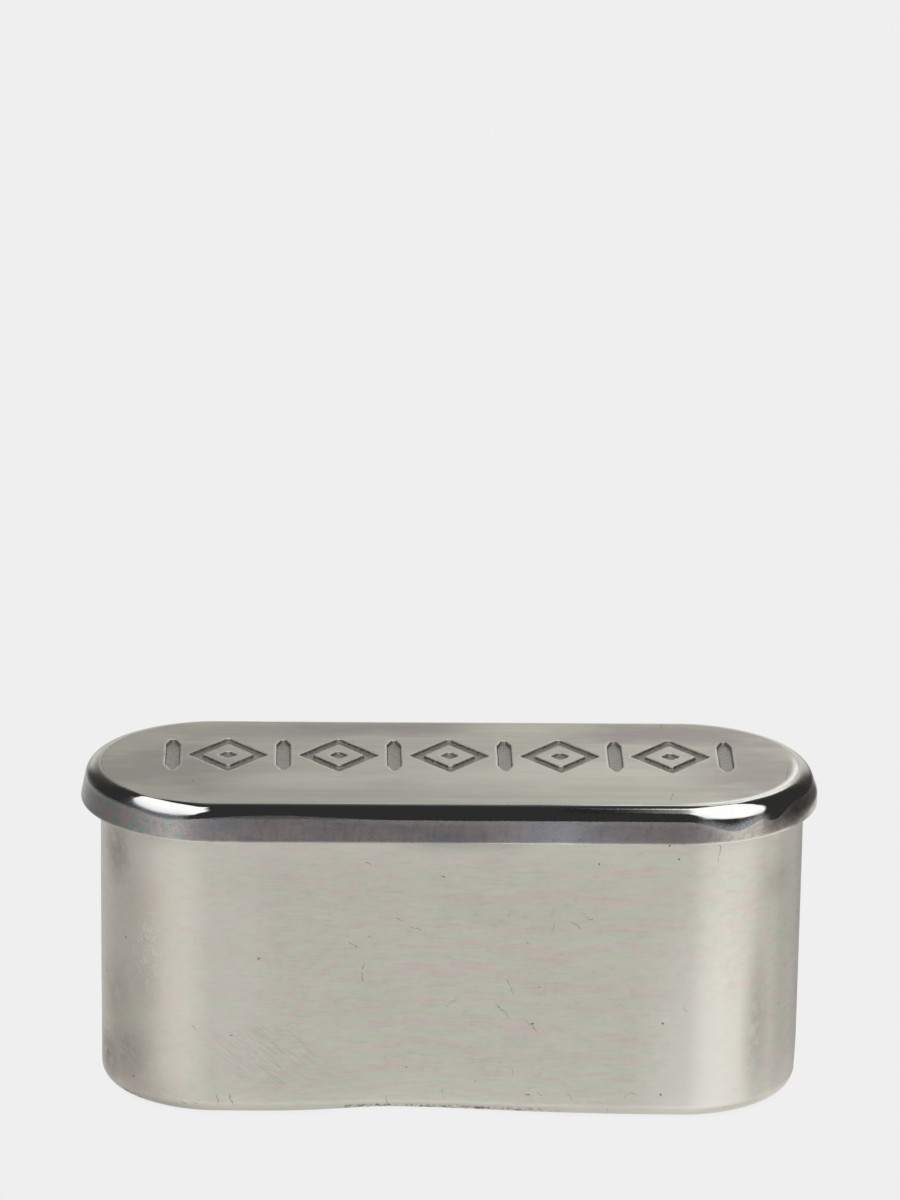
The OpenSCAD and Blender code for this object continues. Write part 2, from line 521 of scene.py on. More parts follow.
def make_lid_rim():
    """Bead, crisp-edged skirt and the ledge that carries the plate."""
    bead = RIM["bead"]
    section = arc(bead, BEAD_RADIUS, 90, BEAD_END, 30)
    foot = (RIM_R - SKIRT_EDGE_ROUND, LID_FOOT + SKIRT_EDGE_ROUND)
    inner = (RIM["inner_foot"].x, LID_FOOT + SKIRT_EDGE_ROUND)
    section += line(section[-1], (RIM_R, foot[1]), 10)
    section += arc(foot, SKIRT_EDGE_ROUND, BEAD_END, -90, 5)
    section += [(inner[0] - SKIRT_EDGE_ROUND, LID_FOOT)] + [inner]
    section += line(inner, tuple(RIM["corner"]), 5)
    ring = [
        tuple(RIM["corner"]),
        (LEDGE_INNER_R, POT_HEIGHT),
        (LEDGE_INNER_R, PLATE_SEAT),
        (bead.x, PLATE_SEAT),
    ]
    section += ring
    crisp = [index_of(section, (inner[0] - SKIRT_EDGE_ROUND, LID_FOOT))]
    corners = [index_of(section, point) for point in ring] + crisp + [0]
    values = {"below_top_border": below_top_border, "above_low_border": above_low_border}
    return sweep("lid_rim_bead", section, corners, rim_shape, values)


def lozenge(centre, half_x, half_y):
    """Corners of a lozenge, anticlockwise."""
    offsets = ((half_x, 0), (0, half_y), (-half_x, 0), (0, -half_y))
    return [centre + Vector(offset) for offset in offsets]


def pick(centre, width, height, point):
    """Corners of an upright pick with a point at each end, anticlockwise."""
    shoulder = height / 2 - point
    offsets = (
        (width / 2, -shoulder), (width / 2, shoulder), (0, height / 2),
        (-width / 2, shoulder), (-width / 2, -shoulder), (0, -height / 2),
    )
    return [centre + Vector(offset) for offset in offsets]


def ornament_outlines():
    """Outlines of the sunk band: (corners, True where the inside is sunk)."""
    pitch = (BAND_LENGTH - PICK_WIDTH) / (2 * LOZENGE_COUNT)
    half_x = pitch - PICK_WIDTH / 2 - MOTIF_GAP
    half_y = BAND_WIDTH / 2
    side = math.hypot(half_x, half_y)
    inner_x = half_x - LINE_WIDTH * side / half_y
    inner_y = half_y - LINE_WIDTH * side / half_x
    outlines = []
    for i in range(-LOZENGE_COUNT, LOZENGE_COUNT + 1):
        centre = Vector((i * pitch, BAND_OFFSET))
        if (i + LOZENGE_COUNT) % 2 == 0:
            outlines.append((pick(centre, PICK_WIDTH, BAND_WIDTH, PICK_POINT), True))
        else:
            outlines.append((lozenge(centre, half_x, half_y), True))
            outlines.append((lozenge(centre, inner_x, inner_y), False))
            outlines.append((lozenge(centre, SEED_HALF, SEED_HALF * half_y / half_x), True))
    return outlines


def rounded(corners, radius, step):
    """An anticlockwise outline with rounded corners, as pairs of a point and its outward direction."""
    bearings = []
    for i, a in enumerate(corners):
        b = corners[(i + 1) % len(corners)]
        bearings.append(math.atan2(a.x - b.x, b.y - a.y))
    turns = []
    for i, corner in enumerate(corners):
        first = bearings[i - 1]
        angle = (bearings[i] - first) % (2 * math.pi)
        bisector = Vector((math.cos(first + angle / 2), math.sin(first + angle / 2)))
        middle = corner - bisector * radius / math.cos(angle / 2)
        steps = max(2, math.ceil(angle * radius / CORNER_STEP))
        turn = []
        for j in range(steps + 1):
            bearing = first + angle * j / steps
            out = Vector((math.cos(bearing), math.sin(bearing)))
            turn.append((middle + out * radius, out))
        turns.append(turn)
    points = []
    for i, turn in enumerate(turns):
        points += turn
        start, out = turn[-1]
        end = turns[(i + 1) % len(turns)][0][0]
        count = max(1, round((end - start).length / step))
        points += [(start.lerp(end, j / count), out) for j in range(1, count)]
    return points


# Rows of a cut edge, from the land down to the floor: distance towards the land, and where it lies
CUT_ROWS = (
    (0.46 * MM, "land", 0), (0.30 * MM, "land", 0), (0.20 * MM, "land", 0.002 * MM),
    (0.12 * MM, "land", 0.008 * MM), (0.06 * MM, "land", 0.025 * MM), (0, "land", 0.08 * MM),
    (-0.03 * MM, "floor", 0.09 * MM), (-0.08 * MM, "floor", 0.03 * MM),
    (-0.16 * MM, "floor", 0.005 * MM), (-0.22 * MM, "floor", 0),
)
LAND, FLOOR, CUT_WALL = 0, 1, 2
CUT_STRIPS = (LAND, LAND, LAND, LAND, LAND, CUT_WALL, CUT_WALL, FLOOR, FLOOR)
# The land's rows lie closer together on an island, within its rounded corners
ISLAND_SHARE = 0.55
# How rubbed each row is, from 0 to 1
CUT_RUBS = (0, 0.6, 0.9, 1, 1, 0.8, 0.2, 0, 0, 0)


def plate_height(spot):
    """The plate's face is a little uneven."""
    wander = noise.noise(Vector((spot.x / PLATE_WAVES[0], spot.y / PLATE_WAVES[1], 3.1)))
    return LID_TOP - PLATE_WANDER * (0.5 + 0.5 * wander)


def cut_rows(corners, sunk, seed):
    """The rows of points of one cut edge, each a list of 3-D points, the land's row first."""
    outline = rounded(corners, CORNER_ROUND, OUTLINE_STEP)
    rows = []
    for offset, level, drop in CUT_ROWS:
        if level == "land" and not sunk:
            offset *= ISLAND_SHARE
        row = []
        for point, out in outline:
            swing = noise.noise(Vector((point.x, point.y, seed)) / WOBBLE_LENGTH) * OUTLINE_WOBBLE
            spot = point + out * (swing + (offset if sunk else -offset))
            height = plate_height(spot) - drop if level == "land" else LID_TOP - GROOVE_DEPTH + drop
            row.append(Vector((spot.x, spot.y, height)))
        rows.append(row)
    return rows


def inside(spot, outline):
    """True if a spot lies in a closed outline."""
    found = False
    for i, a in enumerate(outline):
        b = outline[i - 1]
        if (a.y > spot.y) != (b.y > spot.y):
            if spot.x < a.x + (spot.y - a.y) / (b.y - a.y) * (b.x - a.x):
                found = not found
    return found


def flat_grid(radius, spacing=PLATE_GRID):
    """Spots spread over the oblong, clear of its edge."""
    spots = []
    reach_x, reach_y = int((END_X + radius) / spacing), int(radius / spacing)
    for i in range(-reach_x, reach_x + 1):
        for j in range(-reach_y, reach_y + 1):
            spot = Vector((i * spacing, j * spacing))
            if plan_radius(spot) < radius - 0.4 * spacing:
                spots.append(spot)
    return spots


class PlateMesh(FlatMesh):
    """The mesh of the lid's plate with its sunk ornament."""

    def __init__(self):
        super().__init__()
        self.radius = PLATE_R - PLATE_EDGE_ROUND
        self.edge = LID_TOP - PLATE_EDGE_DROP
        self.outline, self.rings, self.zones = [], [], []

    def add_margin(self):
        """The narrow strip inside the plate's edge."""
        self.outline = self.add_row(self.radius, self.edge)
        inner = self.add_row(self.radius - PLATE_MARGIN, self.edge)
        self.add_strip(self.outline, inner, LAND)
        self.rings.append(inner)

    def add_cut(self, rows, sunk):
        """One cut edge of the ornament, from its row on the land to its row on the floor."""
        numbers = [self.add_points(row, rub) for row, rub in zip(rows, CUT_RUBS)]
        for upper, lower, kind in zip(numbers, numbers[1:], CUT_STRIPS):
            self.add_strip(upper, lower, kind)
        self.rings += [numbers[0], numbers[-1]]
        outer, inner = (rows[0], rows[-1]) if sunk else (rows[-1], rows[0])
        self.zones.append((outer, inner, FLOOR if sunk else LAND))

    def zone_of(self, spot):
        """Whether a spot lies on the land or on the floor; None on a cut edge."""
        zone = LAND
        for outer, inner, level in self.zones:
            if inside(spot, outer):
                zone = level if inside(spot, inner) else None
        return zone

    def fill(self):
        """Triangulates the land and the floors between the rings."""
        owners, points, edges = [], [], []
        for ring in self.rings:
            first = len(points)
            owners += ring
            points += [self.verts[v].to_2d() for v in ring]
            edges += [(first + i, first + (i + 1) % len(ring)) for i in range(len(ring))]
        for spot in flat_grid(self.radius):
            zone = self.zone_of(spot)
            if zone is None:
                continue
            height = plate_height(spot) if zone == LAND else LID_TOP - GROOVE_DEPTH
            owners += self.add_points([Vector((spot.x, spot.y, height))])
            points.append(spot)
        flat, _, triangles, sources, _, _ = delaunay_2d_cdt(points, edges, [], 1, 1e-7)
        for triangle in triangles:
            zone = self.zone_of(sum((flat[v] for v in triangle), Vector((0, 0))) / 3)
            if zone is not None:
                self.add_face([owners[sources[v][0]] for v in triangle], zone)

    def add_side(self):
        """The rounded edge, the side and the underside."""
        section = arc((self.radius, self.edge - PLATE_EDGE_ROUND), PLATE_EDGE_ROUND, 90, 0, 3)
        section.append((PLATE_R, PLATE_SEAT))
        upper = self.outline
        for radius, height in section[1:]:
            lower = self.add_row(radius, height)
            self.add_strip(upper, lower, LAND)
            upper = lower
        self.sharp += zip(upper, upper[1:] + upper[:1])
        self.add_face(upper, LAND)


def make_lid_plate():
    """The plate: land and sunk floor are triangulated, and the cut edges between them are swept."""
    plate = PlateMesh()
    plate.add_margin()
    for seed, (corners, sunk) in enumerate(ornament_outlines()):
        plate.add_cut(cut_rows(corners, sunk, seed * MM), sunk)
    plate.fill()
    plate.add_side()
    return plate.build("lid_plate_sunk")


def make_lid_solder():
    """A fillet that sags under the plate, along the inner edge of the ledge."""
    inner = LEDGE_INNER_R - PLATE_CLEARANCE
    start = (inner - LID_SOLDER_LEG, PLATE_SEAT)
    section = fillet(start, LID_SOLDER_LEG, -LID_SOLDER_HEIGHT, *LID_SOLDER_SAG, 6)
    section.append((inner, PLATE_SEAT - PLATE_CLEARANCE))
    return sweep("lid_solder_run", section, [0, len(section) - 1])


class Nodes:
    """A node tree. Any input takes a number, a colour or another node's output."""

    def __init__(self, owner, output):
        owner.use_nodes = True
        self.tree = owner.node_tree
        self.tree.nodes.clear()
        self.out = self.tree.nodes.new(output)

    def node(self, kind, inputs=None, **settings):
        made = self.tree.nodes.new(kind)
        for key, value in settings.items():
            setattr(made, key, value)
        for key, value in (inputs or {}).items():
            socket = made.inputs[key]
            if isinstance(value, bpy.types.NodeSocket):
                self.tree.links.new(value, socket)
            else:
                socket.default_value = (*value, 1) if socket.type == "RGBA" else value
        return made

    def finish(self, shader):
        self.tree.links.new(shader.outputs[0], self.out.inputs["Surface"])

    def math(self, operation, *values):
        made = self.node("ShaderNodeMath", dict(enumerate(values)), operation=operation)
        return made.outputs[0]

    def total(self, operation, values):
        """Joins several values by one operation."""
        result = values[0]
        for value in values[1:]:
            result = self.math(operation, result, value)
        return result

    def plus(self, *values):
        return self.total("ADD", values)

    def minus(self, first, second):
        return self.math("SUBTRACT", first, second)

    def times(self, *values):
        return self.total("MULTIPLY", values)

    def largest(self, *values):
        return self.total("MAXIMUM", values)

    def apart(self, first, second):
        """How far two numbers are apart."""
        return self.math("ABSOLUTE", self.minus(first, second))

    def vector(self, operation, *values):
        """The vector that a vector operation gives."""
        made = self.node("ShaderNodeVectorMath", dict(enumerate(values)), operation=operation)
        return made.outputs["Vector"]

    def measure(self, operation, *values):
        """The number that a vector operation gives."""
        made = self.node("ShaderNodeVectorMath", dict(enumerate(values)), operation=operation)
        return made.outputs["Value"]

    def parts(self, vector):
        """The three numbers of a vector."""
        return self.node("ShaderNodeSeparateXYZ", {0: vector}).outputs

    def smooth(self, value, low, high, start=0, end=1):
        """Goes smoothly from start to end as value goes from low to high."""
        inputs = {"Value": value, "From Min": low, "From Max": high, "To Min": start, "To Max": end}
        made = self.node("ShaderNodeMapRange", inputs, interpolation_type="SMOOTHSTEP")
        return made.outputs[0]

    def stretch(self, value, start, full, fading, end):
        """Rises to 1 as value goes from start to full, and falls again from fading to end."""
        return self.times(self.smooth(value, start, full), self.smooth(value, end, fading))

    def between(self, share, first, second):
        """Mixes two numbers."""
        return self.node("ShaderNodeMix", {0: share, 2: first, 3: second}).outputs[0]

    def along(self, value, stops):
        """A tone that runs smoothly through stops, which are pairs of a place and a tone."""
        start, length = stops[0][0], stops[-1][0] - stops[0][0]
        made = self.node("ShaderNodeValToRGB", {0: self.math("DIVIDE", self.minus(value, start), length)})
        elements = made.color_ramp.elements
        while len(elements) < len(stops):
            elements.new(1)
        for element, (place, tone) in zip(elements, stops):
            element.position = (place - start) / length
            element.color = (tone, tone, tone, 1)
        return made.outputs[0]

    def mix(self, share, first, second, blend="MIX"):
        """Mixes two colours."""
        inputs = {0: share, 6: first, 7: second}
        return self.node("ShaderNodeMix", inputs, data_type="RGBA", blend_type=blend).outputs[2]

    def wash(self, colour, tone, value, low, high, most=1):
        """Lays a tone over a colour, more and more as value goes from low to high."""
        return self.mix(self.smooth(value, low, high, 0, most), colour, tone)


class Finish(Nodes):
    """The node tree of a material."""

    def __init__(self, name):
        self.material = bpy.data.materials.new(name)
        super().__init__(self.material, "ShaderNodeOutputMaterial")

    @cached_property
    def place(self):
        """Position on the piece in millimetres."""
        where = self.node("ShaderNodeTexCoord").outputs["Object"]
        return self.vector("MULTIPLY", where, (1 / MM, 1 / MM, 1 / MM))

    @cached_property
    def xyz(self):
        """The three numbers of the position."""
        return self.parts(self.place)

    @cached_property
    def surface(self):
        """Distance along and up the surface in millimetres."""
        return self.node("ShaderNodeUVMap", uv_map="surface").outputs[0]

    def attribute(self, name):
        """A value stored on the piece."""
        return self.node("ShaderNodeAttribute", attribute_name=name).outputs["Fac"]

    def noise(self, factors, detail=2, roughness=0.5, vector=None):
        """Cloudy noise from 0 to 1, stretched by the factors, which are lumps per millimetre."""
        scaled = self.vector("MULTIPLY", self.place if vector is None else vector, factors)
        inputs = {"Vector": scaled, "Scale": 1, "Detail": detail, "Roughness": roughness}
        return self.node("ShaderNodeTexNoise", inputs).outputs[0]

    def astray(self, vector, per_mm, reach):
        """The vector moved about by cloudy noise, by at most half the reach."""
        inputs = {"Vector": vector, "Scale": per_mm, "Detail": 2}
        cloud = self.node("ShaderNodeTexNoise", inputs).outputs["Color"]
        offset = self.vector("SUBTRACT", cloud, (0.5, 0.5, 0.5))
        return self.vector("MULTIPLY_ADD", offset, (reach, reach, reach), vector)

    def patch(self, centre, radii, ragged, depth):
        """1 in the middle of an oval patch with a ragged edge, and 0 outside it."""
        offset = self.vector("SUBTRACT", self.place, centre)
        shares = self.vector("MULTIPLY", offset, tuple(1 / r for r in radii))
        wander = self.times(self.minus(ragged, 0.5), depth * 2)
        return self.smooth(self.plus(self.measure("LENGTH", shares), wander), 1, 0.2)

    def patches(self, table, ragged, depth):
        """Each patch of a table of middles, radii and strengths."""
        for centre, radii, strength in table:
            yield self.times(self.patch(centre, radii, ragged, depth), strength)

    def bump(self, height, distance, strength=1):
        """Fine relief; distance is its height in metres."""
        inputs = {"Height": height, "Distance": distance, "Strength": strength}
        return self.node("ShaderNodeBump", inputs).outputs[0]

    def metal(self, colour, roughness, normal, grain=None, anisotropic=0):
        """A metal surface. grain is the way it is brushed: an axis, or the UV map's first direction."""
        inputs = {"Base Color": colour, "Roughness": roughness, "Metallic": 1, "Normal": normal}
        inputs["Anisotropic"] = anisotropic
        inputs["Anisotropic Rotation"] = 0.25 if grain else 0
        shader = self.node("ShaderNodeBsdfPrincipled", inputs)
        if grain:
            settings = {"direction_type": "RADIAL", "axis": grain}
            if grain == "surface":
                settings = {"direction_type": "UV_MAP", "uv_map": grain}
            tangent = self.node("ShaderNodeTangent", **settings)
            self.tree.links.new(tangent.outputs[0], shader.inputs["Tangent"])
        self.finish(shader)
        return self.material


def pits(look, per_mm, largest, share):
    """Small round pits: 1 in a pit and 0 elsewhere."""
    inputs = {"Vector": look.place, "Scale": per_mm, "Randomness": 1}
    cells = look.node("ShaderNodeTexVoronoi", inputs, feature="F1")
    tone = look.node("ShaderNodeSeparateColor", {0: cells.outputs["Color"]}).outputs
    chosen = look.math("LESS_THAN", tone[0], share)
    size = look.times(look.math("POWER", tone[1], 2), largest * per_mm)
    size = look.plus(size, 0.3 * largest * per_mm)
    near = look.minus(size, cells.outputs["Distance"])
    return look.times(look.smooth(near, 0, 0.35 * largest * per_mm), chosen)


def scratches(look, per_mm, length, width, share):
    """Short straight scratches, each turned its own way: 1 in a scratch and 0 elsewhere."""
    inputs = {"Vector": look.surface, "Scale": per_mm, "Randomness": 0.7}
    cells = look.node("ShaderNodeTexVoronoi", inputs, feature="F1", voronoi_dimensions="2D")
    tone = look.node("ShaderNodeSeparateColor", {0: cells.outputs["Color"]}).outputs
    scaled = look.vector("MULTIPLY", look.surface, (per_mm, per_mm, 0))
    offset = look.vector("SUBTRACT", scaled, cells.outputs["Position"])
    inputs = {"Vector": offset, "Angle": look.times(tone[0], math.pi)}
    turned = look.node("ShaderNodeVectorRotate", inputs, rotation_type="Z_AXIS").outputs[0]
    along, across = (look.math("ABSOLUTE", part) for part in look.parts(turned)[:2])
    reach = look.times(tone[2], length * per_mm)
    in_length = look.smooth(look.minus(reach, along), 0, 0.2 * length * per_mm)
    in_width = look.smooth(across, 0.25 * width * per_mm, width * per_mm, 1, 0)
    return look.times(in_length, in_width, look.math("LESS_THAN", tone[1], share))


def drawn_marks(look, place, strokes, dots, ragged):
    """Scratches and pits at chosen places, in millimetres: 1 in a mark and 0 elsewhere."""
    distances = []
    for ax, az, bx, bz in strokes:
        along = Vector((bx - ax, 0, bz - az))
        offset = look.vector("SUBTRACT", place, (ax, 0, az))
        share = look.measure("DOT_PRODUCT", offset, tuple(along / along.length_squared))
        share = look.node("ShaderNodeClamp", {0: share}).outputs[0]
        foot = look.node("ShaderNodeVectorMath", {0: tuple(along), "Scale": share}, operation="SCALE")
        distances.append(look.measure("DISTANCE", offset, foot.outputs[0]))
    for x, z, size in dots:
        distances.append(look.times(look.measure("DISTANCE", place, (x, 0, z)), STROKE_WIDTH / size))
    wander = look.times(look.minus(ragged, 0.5), 1.2 * STROKE_WIDTH)
    nearest = look.plus(look.total("MINIMUM", distances), wander)
    return look.smooth(nearest, 0.3 * STROKE_WIDTH, STROKE_WIDTH, 1, 0)


# Marks on the front of the pot, in millimetres along and up: strokes from one end to the other,
# and dots with their radius
STROKE_WIDTH = 0.06
WALL_STROKES = (
    (-1.5, 33.7, -0.8, 33), (-10.8, 35, -10.2, 34.6), (-7, 27.5, -6, 27.2),
    (-5, 26.4, -3.8, 25.9), (-13, 24.3, -12, 23.4), (-11.1, 21.6, -11.1, 18.8),
    (-33, 12.5, -32.3, 11.8), (12.9, 28.9, 13.1, 28.4), (13.2, 27.2, 13.2, 26.3),
    (15.4, 27.2, 16.6, 26.2), (17.4, 27.8, 18.2, 27.5), (34.2, 37.6, 34, 35.2),
    (29.9, 15.6, 30.4, 15), (-0.4, 15.4, 0.9, 16.4), (8.2, 7.1, 8.4, 6.2),
    (-1, 3.9, -0.4, 2.6), (-8, 3, -7.7, 1.9), (15, 3.4, 16.2, 2.6),
    (22.6, 3, 23.5, 3.9), (23.5, 3.9, 24.2, 3.4), (20.5, 1.4, 20.9, 1),
    (-34.5, 1.7, -34, 1.2), (-32.5, 1.6, -31.9, 1.2), (-30, 2.8, -29.5, 1.2),
    (-28.2, 2.7, -27.4, 1.4), (7.2, 19.2, 8.2, 17.4), (6, 16, 7.6, 13.8),
    (9.9, 13.5, 11.2, 11.9), (9.8, 3.6, 10.8, 3), (11.2, 3.7, 12.2, 2.8),
    (35.7, 1.5, 35.8, 1), (37.1, 1.3, 37.2, 0.9),
)
WALL_DOTS = (
    (-24.5, 21.7, 0.26), (-40.6, 3.6, 0.2), (-36.4, 7.6, 0.2), (-5.5, 6.9, 0.2),
    (-27.9, 11.2, 0.16), (-17.3, 19.3, 0.14), (-10.4, 24.9, 0.14), (7.4, 28.1, 0.18),
    (19.5, 32.8, 0.14), (25.2, 34.4, 0.14), (40.8, 26.6, 0.24), (3.3, 5, 0.16),
    (10.6, 13.2, 0.26), (11.4, 18.3, 0.16), (6.6, 15, 0.2),
)

# The bands of tarnish: how their spacing widens with height, in millimetres, and how many there are
TINT_RISE = 13.3
TINT_TURN = 57.4

# Tones laid over the wall's metal: the noise, its values where it begins and is full, how much, the tone
WALL_WASHES = (
    ("cloud", 0.42, 0.75, 0.25, (0.67, 0.655, 0.57)),
    ("streak", 0.50, 0.74, 0.28, (0.58, 0.56, 0.48)),
    ("streak", 0.46, 0.28, 0.30, (0.86, 0.85, 0.76)),
    ("blotch", 0.52, 0.70, 0.35, (0.66, 0.62, 0.56)),
    ("blotch", 0.48, 0.32, 0.30, (0.86, 0.86, 0.76)),
)
# Tone of the painted light on the wall under the lid and near the foot
PAINTED_LIGHT_CREAM = (0.97, 0.94, 0.86)

# Patches where the wall is painted lighter, a painted sheen: middle, radii and strength
PAINTED_SHEEN_PATCHES = (
    ((32, -15, 3), (10, 9, 38), 0.95),
    ((-29, -15, 20), (9, 9, 34), 0.40),
    ((-38.7, -12, 34), (3.6, 9, 5), 0.90),
)

# Brown smudges on the ends of the pot: middle, radii and strength
SMUDGES = (
    ((-42.8, -8, 35.5), (2.6, 8, 8), 0.75),
    ((-43.2, -8, 13.5), (4, 8, 8), 0.36),
    ((-41.5, -9, 6.5), (6, 9, 6.5), 0.48),
    ((-38, -12, 1), (9, 9, 6), 0.26),
    ((-44.3, -6, 4.5), (3.2, 8, 5.5), 0.85),
    ((-39, -10, 17), (3, 8, 6), 0.16),
    ((41.8, -10, 31), (2.8, 8, 3.6), 0.18),
    ((39.3, -12, 12), (2.4, 8, 17), 0.34),
)

# Where the wall has light veins, and where fine dark strokes slant: middle and radii
VEINED = ((-38.8, -12, 21), (3.2, 8, 8))
SLANTED = ((-22.5, -15, 8.5), (10, 6, 6.5))
SLANT = math.radians(-40)


def tint_bands(look):
    """Faint bands of tarnish colour that run along the front like contour lines, from 0 to 1."""
    x, _, z = look.xyz
    warp = look.times(look.noise((0.03, 0.03, 0.06), 2, 0.5), 24)
    ripple = look.times(look.noise((0.12, 0.12, 0.25), 2, 0.6), 7)
    rise = look.math("LOGARITHM", look.math("MULTIPLY_ADD", z, 1 / TINT_RISE, 1), math.e)
    bend = look.smooth(x, -12, -24, 0, 20)
    phase = look.math("MULTIPLY_ADD", rise, TINT_TURN, look.plus(warp, ripple, bend))
    fine = look.minus(look.noise((0.4, 0.4, 1.6), 3, 0.6), 0.5)
    wave = look.plus(look.math("SINE", phase), look.times(fine, 0.9))
    cloud = look.noise((0.08, 0.08, 0.18), 2, 0.5)
    banded = look.times(look.smooth(wave, 0.15, 0.95), look.smooth(cloud, 0.36, 0.56, 0.5, 1))
    blotch = look.smooth(look.noise((0.3, 0.3, 0.75), 3, 0.65), 0.42, 0.60)
    high = look.between(look.smooth(x, 3, -6), 1, look.smooth(z, 31, 24, 0.15, 1))
    reach = look.times(look.stretch(x, -26, -20, 29, 37), high)
    return look.between(reach, blotch, banded)


def wall_metal(look, streak):
    """The wall's own colour: bands of tarnish under clouds, streaks and blotches."""
    colour = look.mix(tint_bands(look), (0.810, 0.818, 0.692), (0.860, 0.764, 0.708))
    cloud = look.noise((0.06, 0.06, 0.12), 4, 0.6)
    blotch = look.noise((0.8, 0.8, 1.4), 5, 0.7)
    noises = {"cloud": cloud, "streak": streak, "blotch": blotch}
    for name, low, high, most, tone in WALL_WASHES:
        colour = look.wash(colour, tone, noises[name], low, high, most)
    return colour


def soot(look, ragged):
    """Brown smudges of old polish and handling, from 0 to 1."""
    grain = look.noise((0.7, 0.7, 0.7), 4, 0.6)
    smudge = look.largest(*look.patches(SMUDGES, ragged, 0.7))
    return look.times(smudge, look.smooth(grain, 0.35, 0.65, 0.5, 1.2))


def wall_wear(look, colour, ragged, outer):
    """Lighter patches of painted sheen, painted shade with tarnish towards the left end, light veins,
    slanting strokes and brown smudges.
    """
    # Painted sheen: the wall is lighter in these patches
    for sheen in look.patches(PAINTED_SHEEN_PATCHES, ragged, 0.3):
        colour = look.mix(sheen, colour, (0.96, 0.935, 0.85))
    # Painted shade with tarnish: darker and browner towards the left end
    colour = look.wash(colour, (0.80, 0.745, 0.655), look.xyz[0], -31, -38, 0.5)
    vein = look.apart(look.noise((0.9, 0.9, 0.55), 2, 0.5), 0.5)
    veined = look.times(look.patch(*VEINED, ragged, 0.5), look.smooth(vein, 0.035, 0), outer, 0.7)
    colour = look.mix(veined, colour, (0.97, 0.93, 0.90))
    inputs = {"Vector": look.place, "Angle": SLANT}
    turned = look.node("ShaderNodeVectorRotate", inputs, rotation_type="Y_AXIS").outputs[0]
    slant = look.smooth(look.noise((0.35, 0.35, 3.6), 3, 0.6, turned), 0.45, 0.65, 0, 0.4)
    slanted = look.times(look.patch(*SLANTED, ragged, 0.6), slant)
    colour = look.mix(slanted, colour, (0.60, 0.57, 0.49))
    return look.mix(look.times(soot(look, ragged), outer), colour, (0.40, 0.355, 0.31))


def painted_wall_light_and_shade(look, colour, outer):
    """Painted light and shade: lighter under the lid and near the foot; darker under the lid's middle and
    where the foot turns in.
    """
    x, _, z = look.xyz
    # Painted light: lighter under the lid and near the foot
    colour = look.wash(colour, PAINTED_LIGHT_CREAM, z, 32, 37, 0.30)
    low = look.times(look.smooth(z, 9, 2, 0, 0.25), look.smooth(x, -20, -8))
    colour = look.mix(low, colour, PAINTED_LIGHT_CREAM)
    # Painted shade under the lid's middle
    near_middle = look.smooth(look.apart(x, 2), 11, 4)
    shade = look.times(look.smooth(z, 35.8, 38.2, 0, 0.35), near_middle, outer)
    colour = look.mix(shade, colour, (0.34, 0.32, 0.29))
    # Painted shade where the foot turns in
    down = look.parts(look.surface)[1]
    under = look.times(look.smooth(down, foot_run(4), foot_run(24), 0, 0.45), outer)
    return look.mix(under, colour, (0.50, 0.47, 0.41))


def wall_marks(look, ragged, front):
    """Pits, short scratches, and the drawn marks of the front."""
    flat = look.vector("MULTIPLY", look.astray(look.place, 0.9, 1), (1, 0, 1))
    broken = look.smooth(look.noise((1.6, 1.6, 1.6), 2, 0.6), 0.38, 0.56, 0.25, 1)
    drawn = drawn_marks(look, flat, WALL_STROKES, WALL_DOTS, ragged)
    scratch = look.times(scratches(look, 0.16, 1.1, 0.09, 0.3), 0.6)
    return look.largest(pits(look, 0.45, 0.15, 0.5), scratch, look.times(drawn, front, broken))


def foot_grime_and_shadow(look):
    """Black specks along the bent edge under the front, where the foot is lifted, partly dirt and partly
    painted shadow, and at the left corner; from 0 to 1.
    """
    x, _, _ = look.xyz
    speck = look.smooth(look.noise((1.8, 1.8, 1.8), 3, 0.7), 0.48, 0.58)
    bent = look.stretch(x, -15.5, -12.5, 8, 16.5)
    corner = look.stretch(x, -43.5, -41.8, -40.5, -38)
    edge = look.smooth(look.parts(look.surface)[1], foot_run(20), foot_run(36))
    return look.times(speck, look.largest(bent, corner), edge, 0.8)


def satin_wall():
    """Warm grey satin metal, brushed round the pot, with tarnish tints, pits and short scratches."""
    look = Finish("satin_pot")
    outer = look.attribute("outer_face")
    front = look.times(outer, look.smooth(look.xyz[1], 2, -2))
    ragged = look.noise((0.7, 0.7, 0.7), 4, 0.65)
    streak = look.noise((0.35, 0.35, 5), 5, 0.72)
    colour = wall_wear(look, wall_metal(look, streak), ragged, outer)
    colour = painted_wall_light_and_shade(look, colour, outer)
    marks = wall_marks(look, ragged, front)
    colour = look.mix(look.times(marks, 0.55), colour, (0.17, 0.155, 0.135))
    # Black specks along the lifted foot: dirt together with painted shadow
    colour = look.mix(look.times(foot_grime_and_shadow(look), front), colour, (0.07, 0.068, 0.065))
    roughness = look.plus(look.smooth(streak, 0.2, 0.8, 0.38, 0.44), look.times(marks, 0.2))
    height = look.minus(look.times(streak, 0.3), marks)
    return look.metal(colour, roughness, look.bump(height, 0.02 * MM, 0.5), "Z", 0.9)


